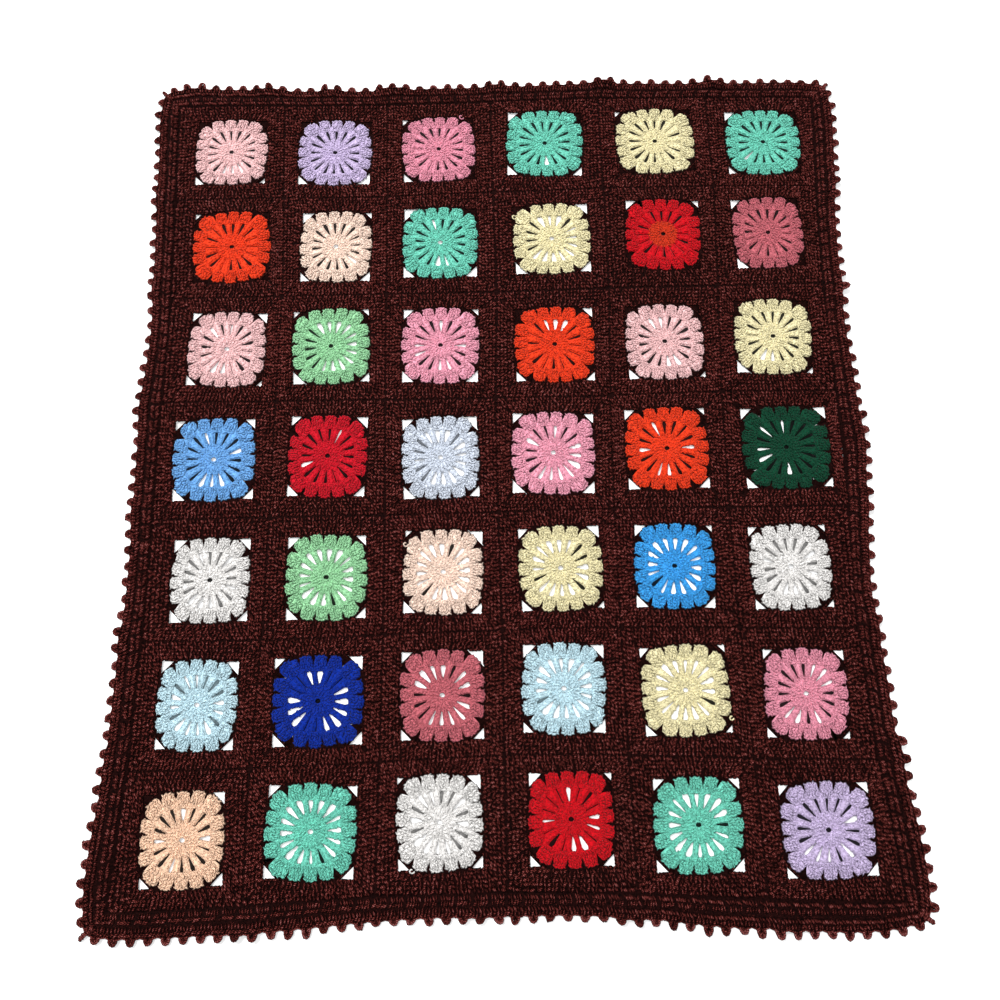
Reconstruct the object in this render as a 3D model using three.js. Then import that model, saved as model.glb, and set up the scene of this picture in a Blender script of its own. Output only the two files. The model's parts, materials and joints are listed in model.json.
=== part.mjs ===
// Granny square blanket, lying flat: 42 coloured crochet centres in 6 columns and 7 rows,
// the brown rounds that join them, and a brown border with a picot edge.
// Millimetres, +Z up, +Y towards the far (top) edge. The underside lies on z = 0.
import * as THREE from 'three';

// ---- Driving dimensions --------------------------------------------------------------------
const CENTRE_THICK = 5; // the puffed clusters of a coloured centre
const GROUND_THICK = 4; // the brown rounds
const BORDER_THICK = 4;
const JOIN_GAP = 0.3; // between neighbouring pieces

const SIDE_BULGE = 2; // a window's side stands out this far in the middle
const HOLE_LEG = 12.5; // the see-through corner of a window, along each side
const CLUSTER_PITCH = 16.5; // three clusters along each side, one more on each corner
const NOTCH_WIDE = 2.6; // between neighbouring clusters, at the outer edge
const NOTCH_DEEP = 8;
const EYE_RADIUS = 2.8; // the ring that a centre starts from
const EYE_POINTS = 6;

const SLIT_COUNT = 16; // between the spokes of a centre
const SLIT_INNER = 20; // its distances from the middle
const SLIT_OUTER = 30.5;
const SLIT_NARROW = 1.2; // its widths at those two ends
const SLIT_BROAD = 4.6;

const PICOT_TALL = 6.5;
const PICOT_FOOT = 10; // its width where it stands on the border
const PICOT_CROWN = 4.5; // and at its blunt tip
const CORNER_CUT = 12; // the border runs straight across its corners
const CORNER_ROUND = 12; // how far the outline draws in towards a corner
const CORNER_REACH = 60; // and over what length of a side
const PICOTS_ACROSS = 48; // along the near and far edges
const PICOTS_DOWN = 54; // along the left and right edges

// ---- The squares as they lie ---------------------------------------------------------------
// One line a row from the far edge: each square's x, y and window width; the row's window
// height. Hand-made squares differ by some millimetres, so they don't sit on a perfect grid.
const ROWS = [
  {
    x: [-337, -204, -71, 65, 207, 345],
    y: [407, 404, 406, 412, 413, 408],
    wide: [95, 97, 97, 101, 103, 98],
    high: 97,
    yarn: ['light_pink', 'lavender', 'rose', 'seafoam', 'pale_yellow', 'seafoam'],
  },
  {
    x: [-329, -199, -69, 70, 209, 340],
    y: [273, 271, 274, 277, 280, 280],
    wide: [100, 92, 97, 99, 97, 90],
    high: 100,
    yarn: ['orange_red', 'pale_peach', 'seafoam', 'pale_yellow', 'red', 'dusty_rose'],
  },
  {
    x: [-327, -201, -69, 69, 202, 333],
    y: [137, 138, 137, 136, 137, 141],
    wide: [97, 97, 97, 100, 97, 96],
    high: 100,
    yarn: ['light_pink', 'spring_green', 'orchid', 'orange_red', 'light_pink', 'pale_yellow'],
  },
  {
    x: [-334, -201, -69, 63, 196, 336],
    y: [-1, 1, -3, 0, 3, 2],
    wide: [99, 96, 94, 101, 100, 106],
    high: 103,
    yarn: ['cornflower', 'crimson', 'ice_blue', 'orchid', 'orange_red', 'dark_green'],
  },
  {
    x: [-329, -198, -66, 67, 196, 327],
    y: [-142, -141, -137, -135, -135, -138],
    wide: [93, 95, 94, 98, 94, 94],
    high: 100,
    yarn: ['off_white', 'spring_green', 'pale_peach', 'pale_yellow', 'azure', 'off_white'],
  },
  {
    x: [-335, -203, -67, 66, 199, 330],
    y: [-278, -276, -272, -267, -271, -277],
    wide: [91, 103, 96, 95, 100, 95],
    high: 100,
    yarn: ['pale_aqua', 'royal_blue', 'dusty_rose', 'pale_aqua', 'pale_yellow', 'rose'],
  },
  {
    x: [-341, -206, -70, 69, 203, 339],
    y: [-415, -409, -402, -401, -409, -416],
    wide: [93, 100, 95, 94, 98, 101],
    high: 99,
    yarn: ['salmon', 'seafoam', 'off_white', 'red', 'seafoam', 'lavender'],
  },
];

// The centres that were worked loosely: their slits are over 4 mm wide and are cut through.
const LOOSE_CENTRES = ['r5c2', 'r6c4', 'r6c5', 'r7c2', 'r7c5'];

const YARN = {
  light_pink: 0xf0b0b4,
  lavender: 0xb7a4dc,
  rose: 0xcf6a8b,
  seafoam: 0x4fc2a0,
  pale_yellow: 0xece2a2,
  orange_red: 0xea3c14,
  pale_peach: 0xf3c9aa,
  red: 0xcb0f20,
  dusty_rose: 0xb8555f,
  spring_green: 0x7fd389,
  orchid: 0xd27aa6,
  cornflower: 0x5a98e2,
  crimson: 0xb90f22,
  ice_blue: 0xc8d6ea,
  dark_green: 0x0c4a35,
  off_white: 0xe6e4df,
  azure: 0x2e84dc,
  pale_aqua: 0xa8dbe9,
  royal_blue: 0x0c2f9c,
  salmon: 0xf5ad8b,
  brown: 0x2f1713,
};

// ---- The border as it lies -----------------------------------------------------------------
// Going round clockwise from the far left corner. tip is how far out the picots reach at even
// steps between the two corners, seam the same for the line where the border joins the
// squares. A ripple is a place where the border is too long for its edge and stands up.
const SIDES = [
  {
    from: [-442, 508],
    to: [447, 503],
    axis: 0,
    picots: PICOTS_ACROSS,
    tip: [508, 507, 503, 500, 500, 503, 503, 504, 505, 504, 502, 503, 503],
    seam: [476, 474, 473, 475, 477, 476, 474],
    ripples: [
      { at: -398, rise: 6, reach: 32 },
      { at: -296, rise: 8, reach: 28 },
      { at: -214, rise: 8, reach: 24 },
      { at: -133, rise: 13, reach: 22 },
      { at: 5, rise: 9, reach: 26 },
      { at: 144, rise: 12, reach: 24 },
      { at: 288, rise: 11, reach: 26 },
    ],
  },
  {
    from: [447, 503],
    to: [448, -517],
    axis: 1,
    picots: PICOTS_DOWN,
    tip: [447, 443, 435, 430, 428, 432, 433, 426, 421, 427, 430, 443, 448],
    seam: [414, 405, 399, 404, 394, 398, 413],
    ripples: [
      { at: 349, rise: 8, reach: 26 },
      { at: 207, rise: 8, reach: 26 },
      { at: 8, rise: 8, reach: 40 },
      { at: -70, rise: 7, reach: 24 },
      { at: -205, rise: 9, reach: 24 },
      { at: -344, rise: 14, reach: 26 },
    ],
  },
  {
    from: [448, -517],
    to: [-449, -518],
    axis: 0,
    picots: PICOTS_ACROSS,
    tip: [-518, -523, -519, -515, -505, -500, -500, -500, -504, -510, -514, -516, -518],
    seam: [-486, -482, -474, -471, -473, -480, -485],
    ripples: [
      { at: 294, rise: 10, reach: 24 },
      { at: 128, rise: 12, reach: 28 },
      { at: -32, rise: 6, reach: 24 },
      { at: -275, rise: 9, reach: 28 },
    ],
  },
  {
    from: [-449, -518],
    to: [-442, 508],
    axis: 1,
    picots: PICOTS_DOWN,
    tip: [-449, -446, -437, -434, -430, -430, -431, -432, -427, -429, -433, -437, -442],
    seam: [-415, -404, -400, -401, -399, -403, -409],
    ripples: [
      { at: -345, rise: 6, reach: 26 },
      { at: -209, rise: 8, reach: 26 },
      { at: -66, rise: 8, reach: 26 },
      { at: 66, rise: 6, reach: 34 },
      { at: 218, rise: 8, reach: 26 },
      { at: 347, rise: 7, reach: 28 },
    ],
  },
];

// ---- Solids --------------------------------------------------------------------------------

// Closed solid from its upper skin: points are [x, y, z], faces index them anticlockwise seen
// from above. The underside is the same skin lowered by thick; walls close the open edges.
function slab(points, faces, thick) {
  const count = points.length;
  const position = [...points, ...points.map(([x, y, z]) => [x, y, z - thick])].flat();
  const index = [];
  const edges = new Set(faces.flatMap(([a, b, c]) => [`${a},${b}`, `${b},${c}`, `${c},${a}`]));
  for (const [a, b, c] of faces) {
    index.push(a, b, c, a + count, c + count, b + count);
  }
  for (const edge of edges) {
    const [a, b] = edge.split(',').map(Number);
    if (!edges.has(`${b},${a}`)) {
      index.push(a, a + count, b + count, a, b + count, b);
    }
  }
  const geometry = new THREE.BufferGeometry();
  geometry.setAttribute('position', new THREE.Float32BufferAttribute(position, 3));
  geometry.setIndex(index);
  geometry.computeVertexNormals();
  return geometry;
}

// Flat plate with holes; every outline is a list of [x, y] in either direction.
function plate(outline, holes, thick) {
  const loops = [outline, ...holes].map((loop, i) => {
    const points = loop.map(([x, y]) => new THREE.Vector2(x, y));
    const clockwise = THREE.ShapeUtils.isClockWise(points);
    return clockwise === (i > 0) ? points : points.reverse();
  });
  const faces = THREE.ShapeUtils.triangulateShape(loops[0], loops.slice(1));
  const points = loops.flat().map((p) => [p.x, p.y, thick]);
  return slab(points, faces, thick);
}

function mesh(name, geometry, yarn) {
  const material = new THREE.MeshStandardMaterial({
    color: YARN[yarn],
    roughness: 0.95,
    metalness: 0,
    flatShading: true,
  });
  material.name = `yarn_${yarn}`;
  const solid = new THREE.Mesh(geometry, material);
  solid.name = name;
  return solid;
}

// ---- One square ----------------------------------------------------------------------------

// How far a window's side stands from the middle, at a place along it. half and along are the
// window's half sizes across and along that side.
function sideReach(half, along, place) {
  return half - (SIDE_BULGE * Math.abs(place)) / along;
}

// A point on the outline of a square's window, pulled in by inset. side 0 to 3 goes
// anticlockwise from the right; place is the distance along the side from its middle.
function onSide(square, side, place, inset) {
  const upright = side % 2 === 0;
  const half = upright ? square.halfWide : square.halfHigh;
  const along = upright ? square.halfHigh : square.halfWide;
  const reach = sideReach(half, along, place) - inset;
  const turn = (side * Math.PI) / 2 + square.lean;
  const [cos, sin] = [Math.cos(turn), Math.sin(turn)];
  return [square.x + reach * cos - place * sin, square.y + reach * sin + place * cos];
}

// Four corners and the four bulging side middles.
function windowOutline(square) {
  return [0, 1, 2, 3].flatMap((side) => {
    const along = side % 2 === 0 ? square.halfHigh : square.halfWide;
    const across = side % 2 === 0 ? square.halfWide : square.halfHigh;
    // the corner lies on this side's line and on the next one's
    const corner = along - (SIDE_BULGE * (across - SIDE_BULGE)) / across;
    return [onSide(square, side, 0, 0), onSide(square, side, corner, 0)];
  });
}

// The scalloped outline: three clusters a side, and corner clusters cut off across the corner.
function centreOutline(square) {
  const outline = [];
  for (let side = 0; side < 4; side += 1) {
    const along = side % 2 === 0 ? square.halfHigh : square.halfWide;
    const cutAt = along - SIDE_BULGE - HOLE_LEG;
    const half = NOTCH_WIDE / 2;
    outline.push(onSide(square, side, -cutAt, JOIN_GAP));
    for (let notch = -1.5; notch <= 1.5; notch += 1) {
      const place = notch * CLUSTER_PITCH;
      outline.push(onSide(square, side, place - half, JOIN_GAP));
      outline.push(onSide(square, side, place * 0.86, NOTCH_DEEP));
      outline.push(onSide(square, side, place + half, JOIN_GAP));
    }
    outline.push(onSide(square, side, cutAt, JOIN_GAP));
  }
  return outline;
}

function aroundCentre(square, radius, angle) {
  const turn = angle + square.lean;
  return [square.x + radius * Math.cos(turn), square.y + radius * Math.sin(turn)];
}

function eyeOutline(square) {
  return Array.from({ length: EYE_POINTS }, (_, i) =>
    aroundCentre(square, EYE_RADIUS, (2 * Math.PI * i) / EYE_POINTS));
}

// Wedge-shaped slits between the spokes, broad at their outer ends.
function slitOutlines(square) {
  return Array.from({ length: SLIT_COUNT }, (_, i) => {
    const angle = (2 * Math.PI * i) / SLIT_COUNT;
    const inner = SLIT_NARROW / 2 / SLIT_INNER;
    const outer = SLIT_BROAD / 2 / SLIT_OUTER;
    return [
      aroundCentre(square, SLIT_INNER, angle - inner),
      aroundCentre(square, SLIT_OUTER, angle - outer),
      aroundCentre(square, SLIT_OUTER, angle + outer),
      aroundCentre(square, SLIT_INNER, angle + inner),
    ];
  });
}

const squares = ROWS.flatMap((row, r) => row.x.map((x, c) => ({
  name: `r${r + 1}c${c + 1}`,
  x,
  y: row.y[c],
  halfWide: row.wide[c] / 2,
  halfHigh: row.high / 2,
  lean: 0.03 * Math.sin(2.3 * r + 3.7 * c),
  yarn: row.yarn[c],
})));

function centreMesh(square) {
  const holes = [eyeOutline(square)];
  if (LOOSE_CENTRES.includes(square.name)) {
    holes.push(...slitOutlines(square));
  }
  const geometry = plate(centreOutline(square), holes, CENTRE_THICK);
  return mesh(`motif_${square.name}`, geometry, square.yarn);
}

// ---- The joined rounds and the border ------------------------------------------------------

// Value at t (0 to 1) in a list of evenly spaced values.
function linear(values, t) {
  const place = t * (values.length - 1);
  const i = Math.min(Math.floor(place), values.length - 2);
  return values[i] + (values[i + 1] - values[i]) * (place - i);
}

function smooth(values, t) {
  const points = values.map((value, i) => new THREE.Vector2(i, value));
  return new THREE.SplineCurve(points).getPoint(t).y;
}

const lerp = (a, b, t) => a + (b - a) * t;

// [along, across] put in x, y order for a side.
const inOrder = (side, along, across) => (side.axis === 0 ? [along, across] : [across, along]);

// The join between squares and border, from one corner of it to the next.
function seamPoint(k, t) {
  const side = SIDES[k];
  const before = SIDES[(k + 3) % 4];
  const after = SIDES[(k + 1) % 4];
  const along = lerp(before.seam.at(-1), after.seam[0], t);
  return inOrder(side, along, linear(side.seam, t));
}

// A point out on the border: height 0 is the bottom of the scallops, 1 the picot tips.
function edgePoint(k, t, height) {
  const side = SIDES[k];
  const [from, to] = [side.from[side.axis], side.to[side.axis]];
  const cut = CORNER_CUT * Math.sign(to - from);
  const along = lerp(from + cut, to - cut, t);
  const outwards = Math.sign(side.tip[0]);
  const corner = Math.min(Math.abs(along - from), Math.abs(to - along));
  const rounding = CORNER_ROUND * Math.max(1 - corner / CORNER_REACH, 0) ** 2;
  const inset = rounding + PICOT_TALL * (1 - height);
  const across = smooth(side.tip, t) - outwards * inset;
  const lift = side.ripples.reduce((sum, ripple) => {
    const away = Math.min(Math.abs(along - ripple.at) / ripple.reach, 1);
    return sum + ripple.rise * (0.5 + 0.5 * Math.cos(Math.PI * away));
  }, 0);
  return [...inOrder(side, along, across), BORDER_THICK + lift];
}

function groundMesh() {
  const outline = SIDES.flatMap((side, k) =>
    side.seam.slice(0, -1).map((_, i) => seamPoint(k, i / (side.seam.length - 1))));
  const pulledIn = outline.map(([x, y]) => [
    x - Math.sign(x) * JOIN_GAP,
    y - Math.sign(y) * JOIN_GAP,
  ]);
  return mesh('ground', plate(pulledIn, squares.map(windowOutline), GROUND_THICK), 'brown');
}

// A ring of blunt picots. Each stands on its own stretch of the border: one point on the seam,
// then the feet and the crown of the picot, left to right.
function borderMesh() {
  const points = [];
  const faces = [];
  const add = (point) => points.push(point) - 1;
  const cells = SIDES.flatMap((side, k) => {
    const length = Math.abs(side.to[side.axis] - side.from[side.axis]) - 2 * CORNER_CUT;
    return Array.from({ length: side.picots }, (_, i) => {
      const at = (offset, height) => edgePoint(k, (i + 0.5) / side.picots + offset / length, height);
      return {
        seam: add([...seamPoint(k, i / side.picots), BORDER_THICK]),
        left: add(at(-PICOT_FOOT / 2, 0)),
        crownLeft: add(at(-PICOT_CROWN / 2, 1)),
        crownRight: add(at(PICOT_CROWN / 2, 1)),
        right: add(at(PICOT_FOOT / 2, 0)),
      };
    });
  });
  cells.forEach((cell, i) => {
    const next = cells[(i + 1) % cells.length];
    faces.push([cell.left, cell.crownLeft, cell.crownRight]);
    faces.push([cell.left, cell.crownRight, cell.right]);
    faces.push([cell.seam, cell.left, cell.right]);
    faces.push([cell.seam, cell.right, next.seam]);
    faces.push([next.seam, cell.right, next.left]);
  });
  return mesh('border', slab(points, faces.map(upwards(points)), BORDER_THICK), 'brown');
}

// Turns a face so that it runs anticlockwise seen from above.
const upwards = (points) => ([a, b, c]) => {
  const [p, q, r] = [points[a], points[b], points[c]];
  const area = (q[0] - p[0]) * (r[1] - p[1]) - (q[1] - p[1]) * (r[0] - p[0]);
  return area > 0 ? [a, b, c] : [a, c, b];
};

// ---- The blanket ---------------------------------------------------------------------------

const blanket = new THREE.Group();
blanket.name = 'granny_square_blanket';
blanket.add(...squares.map(centreMesh), groundMesh(), borderMesh());

// the origin goes to the middle of the footprint, on the underside
const box = new THREE.Box3().setFromObject(blanket);
for (const solid of blanket.children) {
  solid.geometry.translate(-(box.min.x + box.max.x) / 2, -(box.min.y + box.max.y) / 2, 0);
}

export default blanket;
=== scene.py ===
"""A granny square blanket, spread out flat: every stitch leg is a short length of yarn.

Metres, in the frame of the solids. +Y is the far end of the blanket, +Z is up.
"""
import json
import math
from types import SimpleNamespace

import bpy
import numpy as np
from mathutils import Matrix, Vector


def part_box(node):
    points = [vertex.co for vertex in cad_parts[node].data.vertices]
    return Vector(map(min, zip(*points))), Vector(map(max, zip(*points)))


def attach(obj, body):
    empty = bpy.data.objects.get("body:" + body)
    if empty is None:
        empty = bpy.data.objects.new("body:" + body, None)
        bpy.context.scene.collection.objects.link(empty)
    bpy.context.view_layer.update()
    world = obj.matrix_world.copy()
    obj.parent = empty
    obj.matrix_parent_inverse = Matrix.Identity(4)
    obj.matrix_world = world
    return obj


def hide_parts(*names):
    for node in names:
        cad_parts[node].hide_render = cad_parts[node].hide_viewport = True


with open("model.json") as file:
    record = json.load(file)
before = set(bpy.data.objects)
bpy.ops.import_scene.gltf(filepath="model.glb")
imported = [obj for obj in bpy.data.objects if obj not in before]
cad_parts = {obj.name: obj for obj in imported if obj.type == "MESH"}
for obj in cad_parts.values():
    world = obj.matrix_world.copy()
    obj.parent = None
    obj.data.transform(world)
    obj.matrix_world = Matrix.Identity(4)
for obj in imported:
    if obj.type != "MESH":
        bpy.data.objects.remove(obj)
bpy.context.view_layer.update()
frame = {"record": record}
MM = 0.001

# ---- Coloured centres ----------------------------------------------------------------------
# Each square starts with a ring of yarn, two short rounds that make a disc, a round of sixteen
# spokes with slits between them, and sixteen puffed clusters worked into those slits. All of it
# is acrylic yarn, crocheted in one colour a square.
ROWS, COLUMNS = 7, 6
JOIN_GAP = 0.3 * MM  # between a centre and the rounds about it
SIDE_BULGE = 2.0 * MM  # a window's side stands out this far in the middle
CLUSTER_PITCH = 17.4 * MM
CLUSTERS = 16

EYE_RADIUS = 3.6 * MM  # middle line of the ring that a centre starts from
DISC_RADIUS = 17.6 * MM
SPOKE_RING = 0.655  # where the spokes end, as a share of the window
SPOKE_RING_POWER = 3.1  # how square that ring has become
# the line of the clusters' ends, from a window's side, half a pitch and one and a half along it
CLUSTER_INSET = np.array((2.6, 1.1, 1.1, 2.6)) * MM
CLUSTER_SHARE = 0.385  # a cluster's half width, as a share of the pitch
# a corner cluster's end, in from the window's sides, at even steps round the corner
CORNER_END = np.array(((7.0, 14.0), (11.0, 11.0), (14.0, 7.0))) * MM

# each centre's slits, anticlockwise from the right: 0 nearly closed, 1 dark, 2 narrow and
# see-through, 3 wide and see-through; then its eye, 1 dark or 3 see-through. A slit of kind 0
# or 1 and a dark eye get a painted shadow patch under them
SLITS = {
    "r1c1": "11111111111222111", "r1c2": "11111111111111111", "r1c3": "11111111011011111",
    "r1c4": "11111111111131111", "r1c5": "01011111111110111", "r1c6": "11111111112111111",
    "r2c1": "00111101011011101", "r2c2": "11111111111111213", "r2c3": "11111211111132113",
    "r2c4": "22132311112333223", "r2c5": "00111101001010011", "r2c6": "01111111101010111",
    "r3c1": "01112121110330113", "r3c2": "32233311111233221", "r3c3": "21112111221122111",
    "r3c4": "01133210101010101", "r3c5": "11112211111133111", "r3c6": "11111111011331111",
    "r4c1": "13111211111323113", "r4c2": "11121111131110111", "r4c3": "23133211211333323",
    "r4c4": "33112113111222233", "r4c5": "21111211311221111", "r4c6": "11112121231131111",
    "r5c1": "11211211113321121", "r5c2": "33233333223331231", "r5c3": "33213322321233233",
    "r5c4": "31123323212333133", "r5c5": "32233333321233331", "r5c6": "13111112111331123",
    "r6c1": "31112213213223123", "r6c2": "33003300333003331", "r6c3": "13213233111232233",
    "r6c4": "33233233213332323", "r6c5": "33232332322333213", "r6c6": "12221111112312113",
    "r7c1": "31113111211211113", "r7c2": "32333333333321223", "r7c3": "31211221313322113",
    "r7c4": "30103000201033021", "r7c5": "13333323333333221", "r7c6": "13111111112221211",
}
# the clusters that a short end of yarn is left loose at
TAILS = {"r1c3": 2, "r2c4": 6, "r5c3": 6, "r6c5": 14, "r7c3": 10}
# half a slit's width by its kind, at the disc and at its outer end, as shares of the pitch
SLIT_HALF = {"0": (0.03, 0.05), "1": (0.04, 0.16), "2": (0.04, 0.15), "3": (0.05, 0.235)}
SLIT_WIDEST = 0.76  # where along a spoke the slits are widest


def tubes(paths, radius, sides, rng, lump=0.1, line=0.0, squash=1.0):
    """Closed tubes of yarn, one round each path of a batch; line is the cloth's own height.

    paths is yarns x steps x 3. Each point is path + radius (cos a across + squash sin a up),
    where across is the path's direction turned flat by a right angle and up completes the
    frame. The radius swells and shrinks at random by the share lump, as soft yarn does.
    """
    paths = np.asarray(paths, float)
    count, steps, _ = paths.shape
    ahead = np.gradient(paths, axis=1)
    ahead /= np.linalg.norm(ahead, axis=2, keepdims=True)
    across = np.cross(ahead, (0.0, 0.0, 1.0))
    across /= np.linalg.norm(across, axis=2, keepdims=True) + 1e-9
    up = np.cross(across, ahead)
    angle = math.pi / 2 + 2 * math.pi * np.arange(sides) / sides
    up *= squash
    ring = np.cos(angle)[:, None] * across[:, :, None] + np.sin(angle)[:, None] * up[:, :, None]
    radius = radius * (1 + lump * rng.normal(0, 1, (count, steps)))[:, :, None, None]
    points = paths[:, :, None] + radius * ring

    length = np.zeros((count, steps))
    length[:, 1:] = np.cumsum(np.linalg.norm(np.diff(paths, axis=1), axis=2), axis=1)
    length += rng.random((count, 1))
    index = np.arange(count * steps * sides).reshape(count, steps, sides)
    near, far = index[:, :-1], index[:, 1:]
    quads = np.stack((near, far, np.roll(far, -1, 2), np.roll(near, -1, 2)), -1)
    turn = np.broadcast_to(np.arange(sides) / sides, near.shape)
    step = 1 / sides
    start = np.broadcast_to(length[:, :-1, None], near.shape)
    end = np.broadcast_to(length[:, 1:, None], near.shape)
    uv = np.stack(
        (
            np.stack((turn, start), -1),
            np.stack((turn, end), -1),
            np.stack((turn + step, end), -1),
            np.stack((turn + step, start), -1),
        ),
        -2,
    )
    caps = np.concatenate((index[:, 0], index[:, -1, ::-1]))
    cap_uv = np.zeros((*caps.shape, 2))
    lot = np.repeat(rng.random(count), steps * sides)
    line = np.broadcast_to(line, (count, steps))[:, :, None]
    return SimpleNamespace(
        points=points.reshape(-1, 3),
        height=(points[:, :, :, 2] - line).ravel(),
        loops=np.concatenate((quads.ravel(), caps.ravel())),
        sizes=np.concatenate((np.full(quads.size // 4, 4), np.full(len(caps), sides))),
        uv=np.concatenate((uv.reshape(-1, 2), cap_uv.reshape(-1, 2))),
        lot=lot,
    )


LEG_SIDES = 3
LEG_DROOP = np.array((1.2, 0, 1.2)) * MM  # how far a leg's ends and middle lie below its top
LEG_TAPER = np.array((0.6, 1, 0.6))  # its radius there, as shares of the greatest
YARN_LUMP = 0.12  # how unevenly yarn is spun


def legs(middle, heading, rng, long, thick, top):
    """The legs of stitches that show: short lengths of yarn, bowed up, thickest in the middle.

    Each runs from middle - long heading / 2 to middle + long heading / 2, and its middle stands
    top above the cloth's line. thick is the yarn's radius there.
    """
    heading = heading / np.linalg.norm(heading, axis=-1, keepdims=True)
    long = long * (1 + rng.normal(0, 0.1, (len(middle), 1)))
    top = top + rng.normal(0, 0.12 * MM, len(middle))
    paths = np.stack([middle + k * long / 2 * heading for k in (-1, 0, 1)], 1)
    paths[:, :, 2] += top[:, None] - LEG_DROOP
    line = np.broadcast_to(middle[:, 2:], (len(middle), 3))
    return tubes(paths, thick * LEG_TAPER, LEG_SIDES, rng, YARN_LUMP, line, squash=0.68)


def worked(point, across, along, rng, slant, long, thick, top):
    """Stitch legs at places across and along a patch, leaning by slant one way and the other.

    point gives the cloth's line [x, y, z] at a place; a leg points along the patch, plus its
    slant times the level direction at a right angle to that.
    """
    a_bit = 0.02
    here = point(across, along)
    ahead = point(across, along + a_bit) - here
    ahead /= np.linalg.norm(ahead, axis=-1, keepdims=True)
    sideways = np.cross((0.0, 0.0, 1.0), ahead)
    tilt = slant * (-1.0) ** np.arange(len(here)) + rng.normal(0, 0.34, len(here))
    return legs(here, ahead + tilt[:, None] * sideways, rng, long, thick, top)


# painted shade: yarn behind the stitches gets this low lot, so it comes out darker, as in their
# shade
BEHIND_SHADE_LOT = 0.3  # yarn that lies behind the stitches is a little darker than most of them


def slab(points, quads, thick, height):
    """A closed sheet: the upper skin, the same skin lowered by thick, and walls on open edges.

    Points closer than 0.01 mm become one. height is how far the upper skin counts as standing
    above the cloth's line, which sets how much painted crevice shade it gets.
    """
    rounded = np.round(points / (0.01 * MM)).astype(np.int64)
    _, first, same = np.unique(rounded, axis=0, return_index=True, return_inverse=True)
    points, quads = points[first], same.ravel()[quads]
    count = len(points)
    edges = np.concatenate([np.stack((quads[:, i], quads[:, (i + 1) % 4]), -1) for i in range(4)])
    key = edges[:, 0] * count + edges[:, 1]
    back = edges[:, 1] * count + edges[:, 0]
    rim = edges[~np.isin(key, back)]
    walls = np.stack((rim[:, 0], rim[:, 0] + count, rim[:, 1] + count, rim[:, 1]), -1)
    faces = np.concatenate((quads, quads[:, ::-1] + count, walls))
    both = np.concatenate((points, points - (0, 0, thick)))
    return SimpleNamespace(
        points=both,
        height=np.repeat((height, height - thick), count),
        loops=faces.ravel(),
        sizes=np.full(len(faces), 4),
        uv=np.zeros((faces.size, 2)),
        lot=np.full(len(both), BEHIND_SHADE_LOT),
    )


def grid_quads(rows, columns):
    """Quads of a rows x columns grid of points."""
    index = np.arange(rows * columns).reshape(rows, columns)
    quads = np.stack((index[:-1, :-1], index[:-1, 1:], index[1:, 1:], index[1:, :-1]), -1)
    return quads.reshape(-1, 4)


def raised(flat, height):
    """Plan points [x, y] given a height."""
    flat = np.asarray(flat, float)
    height = np.broadcast_to(height, flat.shape[:-1])[..., None]
    return np.concatenate((flat, height), -1)


# waves in the cloth: radians a metre along X and along Y, and where each starts
LIE_WAVES = ((31, 9, 0.6), (-12, 27, 2.1), (19, -22, 4.0))
LIE_HEIGHT = 0.35 * MM


def lie(points):
    """How far the cloth stands off the surface: three shallow waves that cross each other."""
    x, y = points[..., 0], points[..., 1]
    waves = sum(np.sin(a * x + b * y + start) for a, b, start in LIE_WAVES)
    return LIE_HEIGHT * (waves + len(LIE_WAVES))


# painted crevice shade: the material darkens the colour down between the stitches, more the lower
# shade_depth is
FULL_HEIGHT = 5 * MM  # the height above the cloth's line at which the depth attribute is 1


def crochet(name, parts, material):
    """Puts the tubes and slabs of one piece into a mesh, laid on the surface.

    Attribute lot is each yarn's own tone, at random, and shade_depth is low down between the
    stitches, where the material paints shade.
    """
    counts = np.cumsum([0] + [len(p.points) for p in parts])
    points = np.concatenate([p.points for p in parts])
    shade_depth = np.concatenate([p.height for p in parts]) / FULL_HEIGHT
    points[:, 2] += lie(points)
    loops = np.concatenate([p.loops + shift for p, shift in zip(parts, counts)])
    sizes = np.concatenate([p.sizes for p in parts])
    mesh = bpy.data.meshes.new(name)
    mesh.vertices.add(len(points))
    mesh.vertices.foreach_set("co", points.ravel())
    mesh.loops.add(len(loops))
    mesh.loops.foreach_set("vertex_index", loops.astype(np.int32))
    mesh.polygons.add(len(sizes))
    starts = np.cumsum(sizes) - sizes
    mesh.polygons.foreach_set("loop_start", starts.astype(np.int32))
    mesh.polygons.foreach_set("use_smooth", np.ones(len(sizes), bool))
    yarn_map = mesh.uv_layers.new(name="along_the_yarn")
    yarn_map.data.foreach_set("uv", np.concatenate([p.uv for p in parts]).ravel())
    for label, values in (("lot", np.concatenate([p.lot for p in parts])), ("shade_depth", shade_depth)):
        attribute = mesh.attributes.new(label, "FLOAT", "POINT")
        attribute.data.foreach_set("value", np.clip(values, 0, 1).astype(np.float32))
    mesh.update(calc_edges=True)
    mesh.validate()
    mesh.materials.append(material)
    piece = bpy.data.objects.new(name, mesh)
    bpy.context.scene.collection.objects.link(piece)
    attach(piece, "root")
    return piece


def linear(srgb):
    """Display colour to the linear one that shaders take."""
    return [c / 12.92 if c <= 0.04045 else ((c + 0.055) / 1.055) ** 2.4 for c in srgb]


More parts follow.
